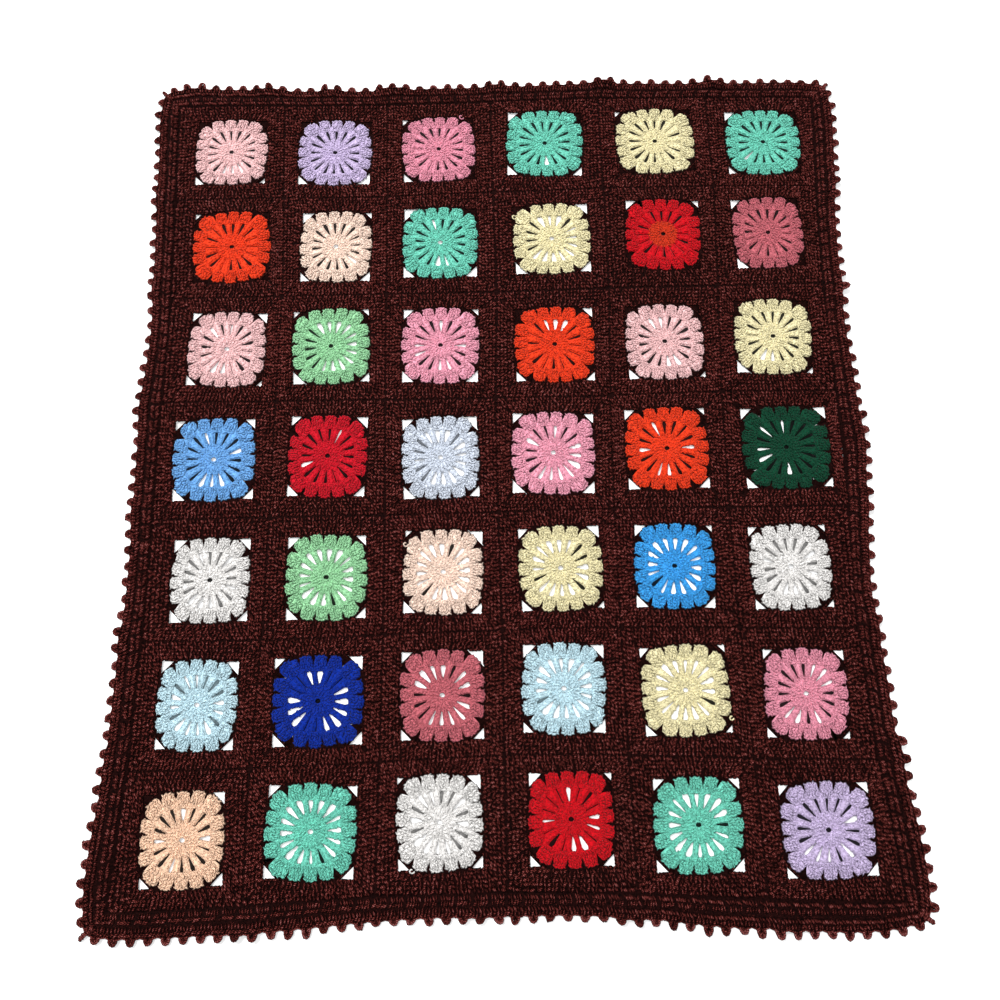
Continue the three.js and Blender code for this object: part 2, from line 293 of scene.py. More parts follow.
# the yarns' display colours
YARN = {
    "light_pink": (0.95, 0.77, 0.77),
    "lavender": (0.80, 0.73, 0.87),
    "rose": (0.90, 0.58, 0.66),
    "seafoam": (0.45, 0.82, 0.73),
    "pale_yellow": (0.94, 0.90, 0.72),
    "orange_red": (0.92, 0.24, 0.09),
    "pale_peach": (0.98, 0.87, 0.80),
    "red": (0.80, 0.02, 0.09),
    "brick": (0.80, 0.20, 0.08),
    "dusty_rose": (0.78, 0.41, 0.45),
    "spring_green": (0.61, 0.84, 0.64),
    "orchid": (0.93, 0.63, 0.71),
    "cornflower": (0.45, 0.68, 0.91),
    "crimson": (0.79, 0.05, 0.14),
    "ice_blue": (0.84, 0.87, 0.92),
    "dark_green": (0.01, 0.26, 0.17),
    "off_white": (0.93, 0.92, 0.91),
    "azure": (0.24, 0.64, 0.92),
    "pale_aqua": (0.78, 0.90, 0.94),
    "royal_blue": (0.01, 0.17, 0.60),
    "salmon": (0.98, 0.82, 0.70),
    "brown": (0.475, 0.205, 0.185),
}

# how strongly painted glints, lots and painted shade in the ply show in a yarn, how its painted
# crevice shade darkens it as shade_depth falls (slope and offset) and the least that is left, its
# gloss, and how far its lighter parts go to the painted sheen colour
BROWN_LOOK = SimpleNamespace(glint_strength=3.2, lots=1.1, ply_shading=0.75, crevice_shade=(2.4, -0.75),
                             darkest_shade=0.09, specular=0.04, sheen=0.0, painted_sheen=0.4)
COLOURED_LOOK = SimpleNamespace(glint_strength=1.2, lots=0.16, ply_shading=0.35, crevice_shade=(2.36, 0.02),
                                darkest_shade=0.02, specular=0.14, sheen=0.04, painted_sheen=0.0)
# the colour of a painted sheen, laid over the lighter parts of a yarn
SHEEN_PAINT_COLOUR = (0.22, 0.16, 0.165, 1)
PLY_PITCH = 4.2 * MM


def fill_in(node, values):
    """Sets a node's inputs by their names."""
    for name, value in values.items():
        node.inputs[name].default_value = value


def yarn_material(yarn):
    """Acrylic yarn: two plies wound round each other, with fine fibres, and fine spots painted as
    glints of light.

    The ply's twist is a sine of twice the turn round the yarn plus the length along it. The
    colour is the yarn's own times lot, painted glints, painted shade in the ply's hollows and
    painted crevice shade by shade_depth; its lighter parts are mixed towards a painted sheen
    colour.
    """
    look = BROWN_LOOK if yarn == "brown" else COLOURED_LOOK
    material = bpy.data.materials.new("yarn_" + yarn)
    material.use_nodes = True
    tree = material.node_tree
    nodes, links = tree.nodes, tree.links
    shader = nodes["Principled BSDF"]
    fill_in(shader, {"Roughness": 0.8, "Specular IOR Level": look.specular,
                     "Sheen Weight": look.sheen, "Sheen Roughness": 0.4})

    def math_node(operation, *terms):
        node = nodes.new("ShaderNodeMath")
        node.operation = operation
        for socket, value in zip(node.inputs, terms):
            if isinstance(value, bpy.types.NodeSocket):
                links.new(value, socket)
            else:
                socket.default_value = value
        return node.outputs[0]

    place = nodes.new("ShaderNodeTexCoord")

    def noise(scale, detail):
        node = nodes.new("ShaderNodeTexNoise")
        fill_in(node, {"Scale": scale, "Detail": detail})
        links.new(place.outputs["Object"], node.inputs["Vector"])
        return node.outputs["Fac"]

    def attribute(name):
        node = nodes.new("ShaderNodeAttribute")
        node.attribute_name = name
        return node.outputs["Fac"]

    split = nodes.new("ShaderNodeSeparateXYZ")
    links.new(place.outputs["UV"], split.inputs[0])
    wound = math_node("MULTIPLY_ADD", split.outputs["Y"], 1 / PLY_PITCH, split.outputs["X"])
    ply = math_node("SINE", math_node("MULTIPLY", wound, 4 * math.pi))
    fibres, bump_and_glint_specks, patches = noise(1100, 2), noise(420, 1), noise(60, 2)

    relief = math_node("MULTIPLY_ADD", ply, 0.5, fibres)
    relief = math_node("ADD", relief, bump_and_glint_specks)
    bump = nodes.new("ShaderNodeBump")
    fill_in(bump, {"Strength": 0.7, "Distance": 0.8 * MM})
    links.new(relief, bump.inputs["Height"])
    links.new(bump.outputs["Normal"], shader.inputs["Normal"])

    def about_one(source, strength):
        return math_node("MULTIPLY_ADD", source, strength, 1 - strength / 2)

    value = about_one(attribute("lot"), look.lots)
    value = math_node("MULTIPLY_ADD", patches, 0.2, math_node("SUBTRACT", value, 0.1))
    # painted glints: fine spots lighten and darken the colour, as fibres catching the light do
    painted_glints = math_node("MAXIMUM", about_one(bump_and_glint_specks, look.glint_strength), 0.1)
    # painted shade in the hollows between the plies
    ply_shade = math_node("MAXIMUM", about_one(ply, look.ply_shading), 0.05)
    value = math_node("MULTIPLY", value, math_node("MULTIPLY", painted_glints, ply_shade))
    # painted crevice shade: darker where shade_depth is low, down between the stitches
    dark = math_node("MULTIPLY_ADD", attribute("shade_depth"), *look.crevice_shade)
    dark = math_node("MINIMUM", math_node("MAXIMUM", dark, look.darkest_shade), 1.15)
    value = math_node("MULTIPLY", value, dark)

    def mixed(blend, factor, first, second):
        node = nodes.new("ShaderNodeMix")
        node.data_type = "RGBA"
        node.blend_type = blend
        for name, source in (("Factor", factor), ("A", first), ("B", second)):
            if isinstance(source, bpy.types.NodeSocket):
                links.new(source, node.inputs[name])
            else:
                node.inputs[name].default_value = source
        return node.outputs["Result"]

    tint = mixed("MULTIPLY", 1, (*linear(YARN[yarn]), 1), value)
    # painted sheen: the lighter parts are mixed towards that pale colour, as a highlight would
    # make them
    painted_sheen_share = math_node("MULTIPLY_ADD", value, look.painted_sheen, -look.painted_sheen)
    with_painted_sheen = mixed("MIX", math_node("MINIMUM", painted_sheen_share, 0.6), tint, SHEEN_PAINT_COLOUR)
    links.new(with_painted_sheen, shader.inputs["Base Color"])
    return material


materials = {yarn: yarn_material(yarn) for yarn in YARN}
slots = {part["node"]: part["material_slot"] for part in frame["record"]["subparts"]}

MOST_LEAN = 0.03  # radians
MOST_SKEW = 0.26  # how far round a centre's clusters are shifted, in clusters


def read_square(row, column):
    """A square's place, half sizes and lean, from the box of its solid.

    The box ends at the clusters beside the middle one, 7 mm off the side's middle, so the
    bulge and the gap are added back.
    """
    label = f"r{row + 1}c{column + 1}"
    low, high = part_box("motif_" + label)
    lean = MOST_LEAN * math.sin(2.3 * row + 3.7 * column)
    half = np.array([(high.x - low.x) / 2, (high.y - low.y) / 2])
    beside = 7 * MM
    half = (half - beside * abs(math.sin(lean))) / math.cos(lean) + JOIN_GAP
    half += SIDE_BULGE * beside / half[::-1]
    return SimpleNamespace(
        label=label,
        node="motif_" + label,
        middle=np.array([(low.x + high.x) / 2, (low.y + high.y) / 2]),
        half=half,
        lean=lean,
        seed=10 * row + column,
        skew=MOST_SKEW * math.sin(5.1 * row + 2.3 * column + 1.0),
    )


squares = [[read_square(r, c) for c in range(COLUMNS)] for r in range(ROWS)]


def turned(square, flat):
    """Plan points about the square's own middle, turned by its lean and put in place."""
    cos, sin = math.cos(square.lean), math.sin(square.lean)
    x, y = flat[..., 0], flat[..., 1]
    return square.middle + np.stack((x * cos - y * sin, x * sin + y * cos), -1)


def on_side(square, side, place, inset=0.0):
    """Points along one side of a window, about its own middle; sides go anticlockwise from +X.

    The side stands half - bulge |place| / along from the middle, less inset.
    """
    half, along = square.half if side % 2 == 0 else square.half[::-1]
    reach = half - SIDE_BULGE * np.abs(place) / along - inset
    place = np.broadcast_to(place, np.shape(reach))
    x, y = ((reach, place), (-place, reach), (-reach, -place), (place, -reach))[side]
    return np.stack((x, y), -1)


def around(square, radius, block):
    """Points at a radius, or on the squarer ring of the spokes when radius is None.

    block counts clusters anticlockwise from +X. The squarer ring is a superellipse: cos and
    sin, each over its half size and raised to a power, are summed, and the radius is that sum
    to the power of minus one over the same power.
    """
    angle = 2 * math.pi * np.asarray(block, float) / CLUSTERS
    cos, sin = np.cos(angle), np.sin(angle)
    if radius is None:
        half = square.half * SPOKE_RING
        power = SPOKE_RING_POWER
        radius = (np.abs(cos / half[0]) ** power + np.abs(sin / half[1]) ** power) ** (-1 / power)
    return np.stack((radius * cos, radius * sin), -1)


def cluster_end(square, block):
    """The line of the clusters' ends: nearly straight on the sides, round the corners."""
    beside = np.array((-1.5, -0.5, 0.5, 1.5))
    blocks, points = [], []
    for side in range(4):
        blocks += [4 * side + beside, 4 * side + np.array((1.75, 2.0, 2.25))]
        points.append(on_side(square, side, beside * CLUSTER_PITCH, CLUSTER_INSET))
        flip = ((1, 1), (-1, 1), (-1, -1), (1, -1))[side]
        ends = CORNER_END if side % 2 == 0 else CORNER_END[::-1]
        points.append((square.half - ends) * flip)
    blocks, points = np.concatenate(blocks), np.concatenate(points)
    return np.stack([np.interp(block, blocks, points[:, i], period=CLUSTERS) for i in (0, 1)], -1)


def washer(square, inner, outer, top):
    """The flat body of a round between two rings of plan points, from 0.4 mm up to its top."""
    rows = raised(np.concatenate((turned(square, inner), turned(square, outer))), top)
    return slab(rows, grid_quads(2, len(inner))[:, ::-1], top - 0.4 * MM, top)


NOTCH_START = 0.4  # how far along them two clusters part
CORNER_EXTRA = 0.045  # a corner cluster's half width is more by this share of the pitch
CLUSTER_PUFF = 1.3 * MM  # how far a cluster's middle stands above its edges
CLUSTER_ROWS = (0.1, 0.32, 0.54, 0.76)  # places of its stitch legs along it
CLUSTER_SPREAD = 0.74  # the outermost legs' place, as a share of its half width


def cluster(square, block, rng):
    """One puffed cluster: a domed pad, with stitch legs over it and along its end.

    share runs from -1 to 1 across it and along from 0 at the spokes to 1 at its end. Its top
    falls off as the cube of share and the fourth power of along from its middle.
    """
    corner = round(block - square.skew) % 4 == 2
    columns = 6 if corner else 5
    half = CLUSTER_SHARE + CORNER_EXTRA * corner
    reach = 1 + rng.normal(0, 0.008)

    def point(share, along):
        foot = around(square, None, block + share * 0.5) * 1.01
        apart = np.clip((along - NOTCH_START) / (1 - NOTCH_START), 0, 1) ** 0.7
        end = cluster_end(square, block + share * (0.5 - (0.5 - half) * apart))
        end = end * (reach - 0.06 * np.abs(share) ** 3)[:, None]
        flat = foot + (end - foot) * along[:, None]
        puff = (1 - 0.55 * np.abs(share) ** 3) * (1 - 0.45 * np.abs(2 * along - 1) ** 4)
        return raised(turned(square, flat), puff * CLUSTER_PUFF)

    share, along = np.meshgrid((-1, -0.75, 0, 0.75, 1), (0, 0.42, 0.65, 1), indexing="ij")
    skin = point(share.ravel(), along.ravel()) + (0, 0, 1.4 * MM)
    parts = [slab(skin, grid_quads(*share.shape), 1.2 * MM, 2.4 * MM)]
    places = np.linspace(-CLUSTER_SPREAD, CLUSTER_SPREAD, columns)
    share, along = (a.ravel() for a in np.meshgrid(places, CLUSTER_ROWS, indexing="ij"))
    share = share + rng.normal(0, 0.05, share.size)
    along = along + rng.normal(0, 0.04, along.size)
    parts.append(worked(point, share, along, rng, slant=0.6, long=4.9 * MM,
                        thick=1.8 * MM, top=2.3 * MM))
    share = places + rng.normal(0, 0.03, columns)
    along = np.full(columns, 0.94)
    parts.append(worked(point, share, along, rng, slant=1.8, long=4.6 * MM,
                        thick=1.8 * MM, top=1.9 * MM))
    return parts


EYE_LEGS = 8
RING_POINTS = 2 * CLUSTERS + 1  # of a ring that ends where it starts
DISC_ROUNDS = ((6.0, 10), (8.8, 15), (11.6, 20), (14.4, 25), (17.0, 30))  # radius in mm, legs
SPOKE_COLUMNS = (-0.42, 0.42)  # places of stitch legs across a spoke
SPOKE_ROWS = (0.14, 0.38, 0.62, 0.86)  # and along it
RING_STITCHES = 36  # chain stitches where the spokes end
# a painted shadow patch lies behind a dark slit or eye, where there is shade: its top and
# thickness
SHADOW_PATCH_TOP = 0.9 * MM  # what lies behind a dark slit or eye
SHADOW_PATCH_THICK = 0.5 * MM
PALE_YARNS = ("yarn_off_white", "yarn_pale_aqua", "yarn_ice_blue")  # light shows through these


def disc_parts(square, rng):
    """The ring that a centre starts from, and the legs of its disc on their flat body."""

    def point(block, radius):
        return raised(turned(square, around(square, radius, block)), 0)

    about = np.arange(EYE_LEGS) * CLUSTERS / EYE_LEGS
    tangent = np.cross((0.0, 0.0, 1.0), point(about, EYE_RADIUS) - point(about, 0.5 * EYE_RADIUS))
    full_turn = np.linspace(0, CLUSTERS, RING_POINTS)
    parts = [
        legs(point(about, EYE_RADIUS), tangent, rng, long=4.6 * MM, thick=1.7 * MM, top=2.9 * MM),
        washer(square, around(square, EYE_RADIUS, full_turn),
               around(square, DISC_RADIUS, full_turn), 2.2 * MM),
    ]
    for radius, count in DISC_ROUNDS:
        block = (np.arange(count) + rng.random()) * CLUSTERS / count
        block = block + rng.normal(0, 0.05, count)
        away = (radius + rng.normal(0, 0.25, count)) * MM
        heading = point(block, away + MM) - point(block, away)
        sideways = np.cross((0.0, 0.0, 1.0), heading)
        tilt = 0.6 * (-1.0) ** np.arange(count) + rng.normal(0, 0.35, count)
        heading += tilt[:, None] * sideways
        parts.append(legs(point(block, away), heading, rng, long=4.4 * MM, thick=1.85 * MM,
                          top=3.0 * MM))
    return parts


def spoke_parts(square, rng):
    """The sixteen spokes: domed slabs, with stitch legs on each, that leave the slits free."""
    slack = np.array([SLIT_HALF[kind] for kind in SLITS[square.label][:CLUSTERS]])
    slack = slack * (1 + rng.normal(0, 0.12, slack.shape))

    def slit_half(slit, along):
        """A slit is a drop: it widens evenly from the disc, and draws in again at the ring."""
        inner, outer = slack[slit % CLUSTERS].T
        past = np.maximum(along - SLIT_WIDEST, 0) / (1 - SLIT_WIDEST)
        return inner + (outer - inner) * np.minimum(along / SLIT_WIDEST, 1) - 0.6 * outer * past

    def on_spoke(spoke, side, along):
        """Side runs from -1 to 1 between two slits, and along from the disc (0) to the ring."""
        low, high = spoke + slit_half(spoke, along), spoke + 1 - slit_half(spoke + 1, along)
        block = low + (high - low) * (side + 1) / 2 + square.skew
        start = around(square, DISC_RADIUS - 1.2 * MM, block)
        end = around(square, None, block) * 1.02
        return raised(turned(square, start + (end - start) * along[:, None]), 0)

    every_spoke = np.arange(CLUSTERS)
    places = np.meshgrid(every_spoke, (-1, 0, 1), (0, SLIT_WIDEST, 1), indexing="ij")
    spoke, side, along = (a.ravel() for a in places)
    skin = on_spoke(spoke, side, along)
    skin[:, 2] += (2.6 - 0.9 * side**2) * MM
    quads = grid_quads(3, 3) + 3 * 3 * every_spoke[:, None, None]
    slabs = slab(skin, quads.reshape(-1, 4), 1.4 * MM, 2.2 * MM)
    places = np.meshgrid(every_spoke, SPOKE_COLUMNS, SPOKE_ROWS, indexing="ij")
    spoke, side, along = (a.ravel() for a in places)
    side = side + rng.normal(0, 0.07, len(side))
    along = along + rng.normal(0, 0.04, len(along))

    def on_same_spokes(side, along):
        return on_spoke(spoke, side, along)

    return [slabs, worked(on_same_spokes, side, along, rng, slant=0.35, long=4.8 * MM,
                          thick=1.75 * MM, top=2.9 * MM)]


def shadow_patch(square, corners, height):
    """A painted shadow patch: a small slab, shaded dark, that closes a slit or an eye, under four
    plan points.
    """
    return slab(raised(turned(square, corners), SHADOW_PATCH_TOP), grid_quads(2, 2)[:, ::-1],
                SHADOW_PATCH_THICK, height)


def centre(square):
    """All the stitches of one coloured centre: those of its disc, and the rest."""
    rng = np.random.default_rng(square.seed)
    disc = disc_parts(square, rng)
    rest = spoke_parts(square, rng)
    slits, eye = SLITS[square.label][:CLUSTERS], SLITS[square.label][CLUSTERS]
    # painted shadow patches close slits of kind 0 and 1 and a dark eye; under pale yarns they
    # stand higher, so they are painted less dark
    shadow_patch_height = 0.45 * MM if slots[square.node] in PALE_YARNS else 0.0
    for slit, kind in enumerate(slits):
        if kind in "01":
            sides = slit + square.skew + np.array((-0.3, 0.3))
            ends = (around(square, DISC_RADIUS - MM, sides), around(square, None, sides))
            rest.append(shadow_patch(square, np.concatenate(ends), shadow_patch_height))
    if eye == "1":
        hub = np.array(((-1, -1), (1, -1), (-1, 1), (1, 1))) * 3.4 * MM
        disc.append(shadow_patch(square, hub, 0.0))

    squarer = around(square, None, np.linspace(0, CLUSTERS, RING_POINTS))
    rest.append(washer(square, squarer * 0.985, squarer * 1.13, 2.4 * MM))
    chain = np.arange(RING_STITCHES) * CLUSTERS / RING_STITCHES
    here = raised(turned(square, around(square, None, chain)), 0)
    rest.append(legs(here, np.roll(here, -1, 0) - here, rng, long=6.4 * MM, thick=1.4 * MM,
                     top=3.1 * MM))
    for block in range(CLUSTERS):
        rest += cluster(square, block + square.skew, rng)
    if square.label in TAILS:
        t = np.linspace(0, 1, 12)
        curl = (1.2 + 1.8 * t) * MM * np.array((np.cos(1 + 5 * t), np.sin(1 + 5 * t)))
        flat = cluster_end(square, TAILS[square.label] + 0.4) * 1.03 + curl.T
        tail = raised(turned(square, flat), (4.0 + np.sin(5 * t)) * MM)
        rest.append(tubes(tail[None], 0.8 * MM, 4, rng))
    return disc, rest


# one centre has a disc of another yarn, which is a piece of its own
for square in sum(squares, []):
    disc, rest = centre(square)
    yarn = slots[square.node].removeprefix("yarn_")
    if square.label == "r2c5":
        heart = crochet("disc_" + square.label, disc, materials["brick"])
        disc = []
    piece = crochet("centre_" + square.label, disc + rest, materials[yarn])
    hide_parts(square.node)

# ---- Brown rounds that join the squares ----------------------------------------------------
# Three rounds of dark brown yarn frame each centre. The first is worked in groups over the
# clusters, with a dark slot between groups; neighbouring squares are joined edge to edge.
ORIGIN = np.array((-0.907, -7.684)) * MM  # the frame's origin, as the tables below measure
# the join with the border: how far out it lies at even steps, clockwise from the far left
SEAM = np.array((
    (476, 474, 473, 475, 477, 476, 474),
    (414, 405, 399, 404, 394, 398, 413),
    (-486, -482, -474, -471, -473, -480, -485),
    (-415, -404, -400, -401, -399, -403, -409),
)) * MM
GROUP_PLACES = np.array((-1.0, -0.33, 0.33, 1.0)) * 6.0 * MM  # a group's legs, from its middle
GROUPED_WAY = 38 * MM  # how far from a side's middle the groups reach
BY_CORNER = np.array((39.5, 43.0, 46.5)) * MM  # single legs past them
ROUND_ROWS = (0.10, 0.28, 0.47, 0.66, 0.86)  # from the window (0) to the join (1)
GROUPED_ROWS = 2  # the first rows are in groups, and the others even
ROUND_WIDENS = 42 * MM  # a frame's side is longer at the join than at the window
LEG_PITCH = 4.25 * MM


def seam_point(side, t):
    """The join with the border, from one corner of it (t = 0) to the next (t = 1).

    It goes evenly along the side, on straight lines between the table's steps.
    """
    t = np.asarray(t, float)
    before, after = SEAM[(side + 3) % 4][-1], SEAM[(side + 1) % 4][0]
    along = before + (after - before) * t
    across = np.interp(t, np.linspace(0, 1, SEAM.shape[1]), SEAM[side])
    pair = (along, across) if side % 2 == 0 else (across, along)
    return np.stack(pair, -1) - ORIGIN


def window_corner(square, corner):
    """A window's corner, where two sides meet: 0 near right and on anticlockwise."""
    side = corner % 4
    along, across = square.half[::-1] if side % 2 == 0 else square.half
    place = along - SIDE_BULGE * (across - SIDE_BULGE) / across
    return turned(square, on_side(square, side, -place))


def lattice_point(row, column):
    """Where four squares meet: the mean of their windows' corners, or a point on the seam."""
    corners = []
    for r, c, corner in ((row - 1, column - 1, 0), (row - 1, column, 3),
                         (row, column - 1, 1), (row, column, 2)):
        if 0 <= r < ROWS and 0 <= c < COLUMNS:
            corners.append(window_corner(squares[r][c], corner))
    mean = np.mean(corners, axis=0)
    far, near = row == 0, row == ROWS
    left, right = column == 0, column == COLUMNS
    if (far or near) and (left or right):
        side = {(True, False): 0, (True, True): 1, (False, True): 2, (False, False): 3}[far, right]
        return seam_point(side, 0.0)
    for here, side, axis in ((far, 0, 0), (right, 1, 1), (near, 2, 0), (left, 3, 1)):
        if here:
            t = np.linspace(0, 1, 401)
            line = seam_point(side, t)
            return line[np.argmin(np.abs(line[:, axis] - mean[axis]))]
    return mean


lattice = np.array([[lattice_point(r, c) for c in range(COLUMNS + 1)] for r in range(ROWS + 1)])


def frame_point(square, row, column, side, p, q, inset=0.0):
    """A point of a brown frame: p goes along one side, q from the window (0) to the join (1).

    It is window + (join - window) q, and inset moves the window's edge in.
    """
    outer = (lattice[row + 1, column + 1], lattice[row, column + 1],
             lattice[row, column], lattice[row + 1, column])
    along, across = square.half[::-1] if side % 2 == 0 else square.half
    reach = along - SIDE_BULGE * (across - SIDE_BULGE) / across
    inner = turned(square, on_side(square, side, (2 * p - 1) * reach, inset))
    start, end = outer[side], outer[(side + 1) % 4]
    join = start + (end - start) * p[..., None]
    return inner + (join - inner) * q[..., None]


# each square's corners, from the near right one anticlockwise: 0 pulled shut to 3 wide open
CORNERS = (
    ("1002", "3002", "0012", "2023", "0010", "0022"),
    ("0010", "2132", "3033", "3303", "0120", "0023"),
    ("1222", "2113", "3123", "2202", "1003", "1003"),
    ("2223", "2323", "2333", "3223", "2123", "2323"),
    ("2333", "2233", "2313", "1322", "2123", "1122"),
    ("2322", "3323", "2322", "3332", "1122", "1222"),
    ("2202", "2222", "2312", "2132", "2222", "2222"),
)
# how far each kind is see-through along the window's sides
CORNER_SIDE = {"0": 2.0 * MM, "1": 10.0 * MM, "2": 14.6 * MM, "3": 17.4 * MM}
CORNER_CLOTH = (26 * MM, 20 * MM)  # the cloth behind reaches this far along them, and inwards
STRAND_SHARES = np.array((0.94, 0.73, 0.5, 0.27, 0.06))  # places of the legs across a corner
# middles of the legs that go round a window's corner, in along its two sides
ROUND_CORNER = np.array((
    (14, 0.4), (10, 0.3), (5.6, 0.3), (0.8, 0.8), (0.3, 5.6), (0.3, 10), (0.4, 14))) * MM


def corner_stitches(square, corner, kind, rng):
    """The legs that go round a window's corner, the strand across it and the cloth behind.

    The strand lies along the corner cluster's end. The see-through part is a triangle with
    equal sides, between the window's corner and the cloth behind.
    """
    tip = window_corner(square, corner)
    ways = [window_corner(square, corner + step) - tip for step in (-1, 1)]
    ways = np.array([way / np.linalg.norm(way) for way in ways])
    side = CORNER_SIDE[kind] * (1 + rng.uniform(-0.08, 0.08))
    wide, deep = CORNER_CLOTH
    cloth = np.array(((side + MM, -MM), (side / 2, side / 2), (-MM, side + MM),
                      (wide, -MM), (deep, deep), (-MM, wide)))
    # the cloth behind lies low, so the painted crevice shade makes it nearly black
    parts = [slab(raised(tip + cloth @ ways, 1.2 * MM), grid_quads(2, 3), 0.7 * MM, 0.9 * MM)]
    strand = np.stack((STRAND_SHARES, 1 - STRAND_SHARES), -1)
    strand = (max(side, 12 * MM) + 2.4 * MM) * strand
    for line, thick, top in ((ROUND_CORNER, 1.8 * MM, 2.4 * MM), (strand, 1.7 * MM, 2.0 * MM)):
        here = tip + line @ ways
        heading = raised(np.gradient(here, axis=0), 0)
        parts.append(legs(raised(here, 0), heading, rng, long=4.9 * MM, thick=thick, top=top))
    return parts


def side_legs(square, side, rng):
    """Places of the stitch legs on one side of a frame: p along it, q from window to join."""
    reach = square.half[1 - side % 2]
    places, rows = [], []
    for number, q in enumerate(ROUND_ROWS):
        if number < GROUPED_ROWS:
            middles = (np.arange(-2, 3) + square.skew) * CLUSTER_PITCH
            place = (middles[:, None] + GROUP_PLACES).ravel()
            place = np.concatenate((place[np.abs(place) < GROUPED_WAY], BY_CORNER, -BY_CORNER))
            place = (place / reach + 1) / 2
        else:
            count = round((2 * reach + ROUND_WIDENS * q) / LEG_PITCH)
            place = (np.arange(count) + 0.5) / count
        places.append(place)
        rows.append(np.full(len(place), q))
    places, rows = np.concatenate(places), np.concatenate(rows)
    return places + rng.normal(0, 0.004, len(places)), rows + rng.normal(0, 0.02, len(places))


for row in range(ROWS):
    rng = np.random.default_rng(200 + row)
    parts = []
    for column in range(COLUMNS):
        square = squares[row][column]
        for side in range(4):
            parts += corner_stitches(square, side, CORNERS[row][column][side], rng)

            def point(p, q):
                return raised(frame_point(square, row, column, side, p, q), 0)

            p, q = side_legs(square, side, rng)
            parts.append(worked(point, p, q, rng, slant=0.55, long=4.9 * MM, thick=2.35 * MM,
                                top=2.7 * MM))
    piece = crochet(f"rounds_r{row + 1}", parts, materials["brown"])
    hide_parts("ground")

# the yarn that lies behind the stitches: places along a window's side, and how far in from it
# the web reaches there, under the clusters' ends but not under the corners
WEB_PLACES = np.array((0, 0.03, 0.2, 0.25, 0.5, 0.75, 0.8, 0.97, 1))
WEB_TUCK = np.array((0, 0.9, 0.9, 18, 12.9, 18, 0.9, 0.9, 0)) * MM
# the web is yarn behind the stitches; it lies low, so the painted crevice shade makes it nearly
# black, as in shadow
WEB_TOP = 1.5 * MM
WEB_THICK = 1.0 * MM
web_points, web_quads = [], []
for row in range(ROWS):
    for column in range(COLUMNS):
        square = squares[row][column]
        for side in range(4):
            p, q = np.meshgrid(WEB_PLACES, (0, 0.5, 1))
            tuck = WEB_TUCK * (q == 0)
            rows = frame_point(square, row, column, side, p, q, tuck).reshape(-1, 2)
            web_quads.append(grid_quads(*p.shape)[:, ::-1] + p.size * len(web_points))
            web_points.append(raised(rows, WEB_TOP))
web = slab(np.concatenate(web_points), np.concatenate(web_quads), WEB_THICK, WEB_TOP)
web_piece = crochet("rounds_back", [web], materials["brown"])
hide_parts("ground")

# ---- Border --------------------------------------------------------------------------------
# A round of blocks, then a round of shells with a picot on each. It has more stitches than the
# edge needs, so it stands up in ripples.
PICOTS = (48, 54, 48, 54)  # on each side
CORNER_CUT = 12.0 * MM  # a side's first and last picot stand this far from the corner
CORNER_ROUND = 12.0 * MM  # its tips are drawn in this far at the corner
CORNER_REACH = 60.0 * MM  # and less and less up to here
# going round clockwise: where each side starts and ends along itself, and how far out the
# picots reach at even steps
SIDE_ENDS = np.array(((-442, 447), (503, -517), (448, -449), (-518, 508))) * MM
TIPS = np.array((
    (508, 507, 503, 500, 500, 503, 503, 504, 505, 504, 502, 503, 503),
    (447, 443, 435, 430, 428, 432, 433, 426, 421, 427, 430, 443, 448),
    (-518, -523, -519, -515, -505, -500, -500, -500, -504, -510, -514, -516, -518),
    (-449, -446, -437, -434, -430, -430, -431, -432, -427, -429, -433, -437, -442),
)) * MM
# ripples in mm: place along the side, height and half length
RIPPLES = (
    ((-398, 6, 32), (-296, 8, 28), (-214, 8, 24), (-133, 13, 22), (5, 9, 26), (144, 12, 24),
     (288, 11, 26)),
    ((349, 8, 26), (207, 8, 26), (8, 8, 40), (-70, 7, 24), (-205, 9, 24), (-344, 14, 26)),
    ((294, 10, 24), (128, 12, 28), (-32, 6, 24), (-275, 9, 28)),
    ((-345, 6, 26), (-209, 8, 26), (-66, 8, 26), (66, 6, 34), (218, 8, 26), (347, 7, 28)),
)


def spline(values, t):
    """A smooth line through evenly spaced values: a Catmull-Rom cubic on each stretch."""
    place = np.clip(t, 0, 1) * (len(values) - 1)
    i = np.minimum(place.astype(int), len(values) - 2)
    w = place - i
    padded = np.concatenate(([values[0]], values, [values[-1]]))
    a, b, c, d = (padded[i + k] for k in range(4))
    return b + 0.5 * w * (c - a + w * (2 * a - 5 * b + 4 * c - d + w * (3 * (b - c) + d - a)))


def edge_point(side, t):
    """The line of the picots' tips along a side, drawn in towards the corners.

    Each ripple lifts it by half its rise times one plus the cosine of the way to its end.
    """
    start, end = SIDE_ENDS[side]
    cut = CORNER_CUT * np.sign(end - start)
    along = start + cut + (end - start - 2 * cut) * t
    near = np.minimum(np.abs(along - start), np.abs(end - along))
    drawn_in = CORNER_ROUND * np.maximum(1 - near / CORNER_REACH, 0) ** 2
    across = spline(TIPS[side], t) - np.sign(TIPS[side][0]) * drawn_in
    lift = sum(
        rise * (0.5 + 0.5 * np.cos(math.pi * np.clip(np.abs(along / MM - at) / reach, 0, 1)))
        for at, rise, reach in RIPPLES[side]
    ) * MM
    pair = (along, across) if side % 2 == 0 else (across, along)
    return np.concatenate((np.stack(pair, -1) - ORIGIN, lift[:, None]), -1)


